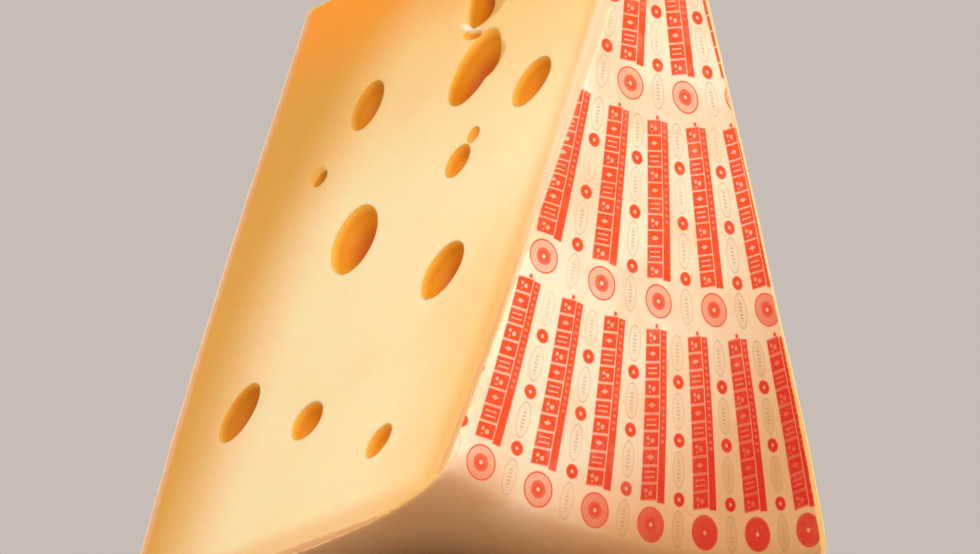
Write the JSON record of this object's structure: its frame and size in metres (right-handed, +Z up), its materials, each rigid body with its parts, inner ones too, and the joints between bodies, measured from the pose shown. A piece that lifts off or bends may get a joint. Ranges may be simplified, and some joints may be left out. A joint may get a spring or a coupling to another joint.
{
  "type": "cheese wedge",
  "caption": "Tall wedge of hard cheese cut from a domed wheel and stood on its rim, with round gas eyes on both cut faces and a printed rind on the two domed faces.",
  "frame": {"origin": "under the middle of the wedge, on the surface that its rim stands on", "axes": "+Z up from the rim to the tip edge; the tip edge and the wheel's axis lie along Y, with the printed domed faces towards -Y and +Y; the cut faces face -X and +X"},
  "size_m": [0.2358, 0.2762, 0.3631],
  "materials": {
    "cheese": "satin"
  },
  "bodies": {
    "root": {"cheese_wedge": "cheese"}
  },
  "joints": []
}
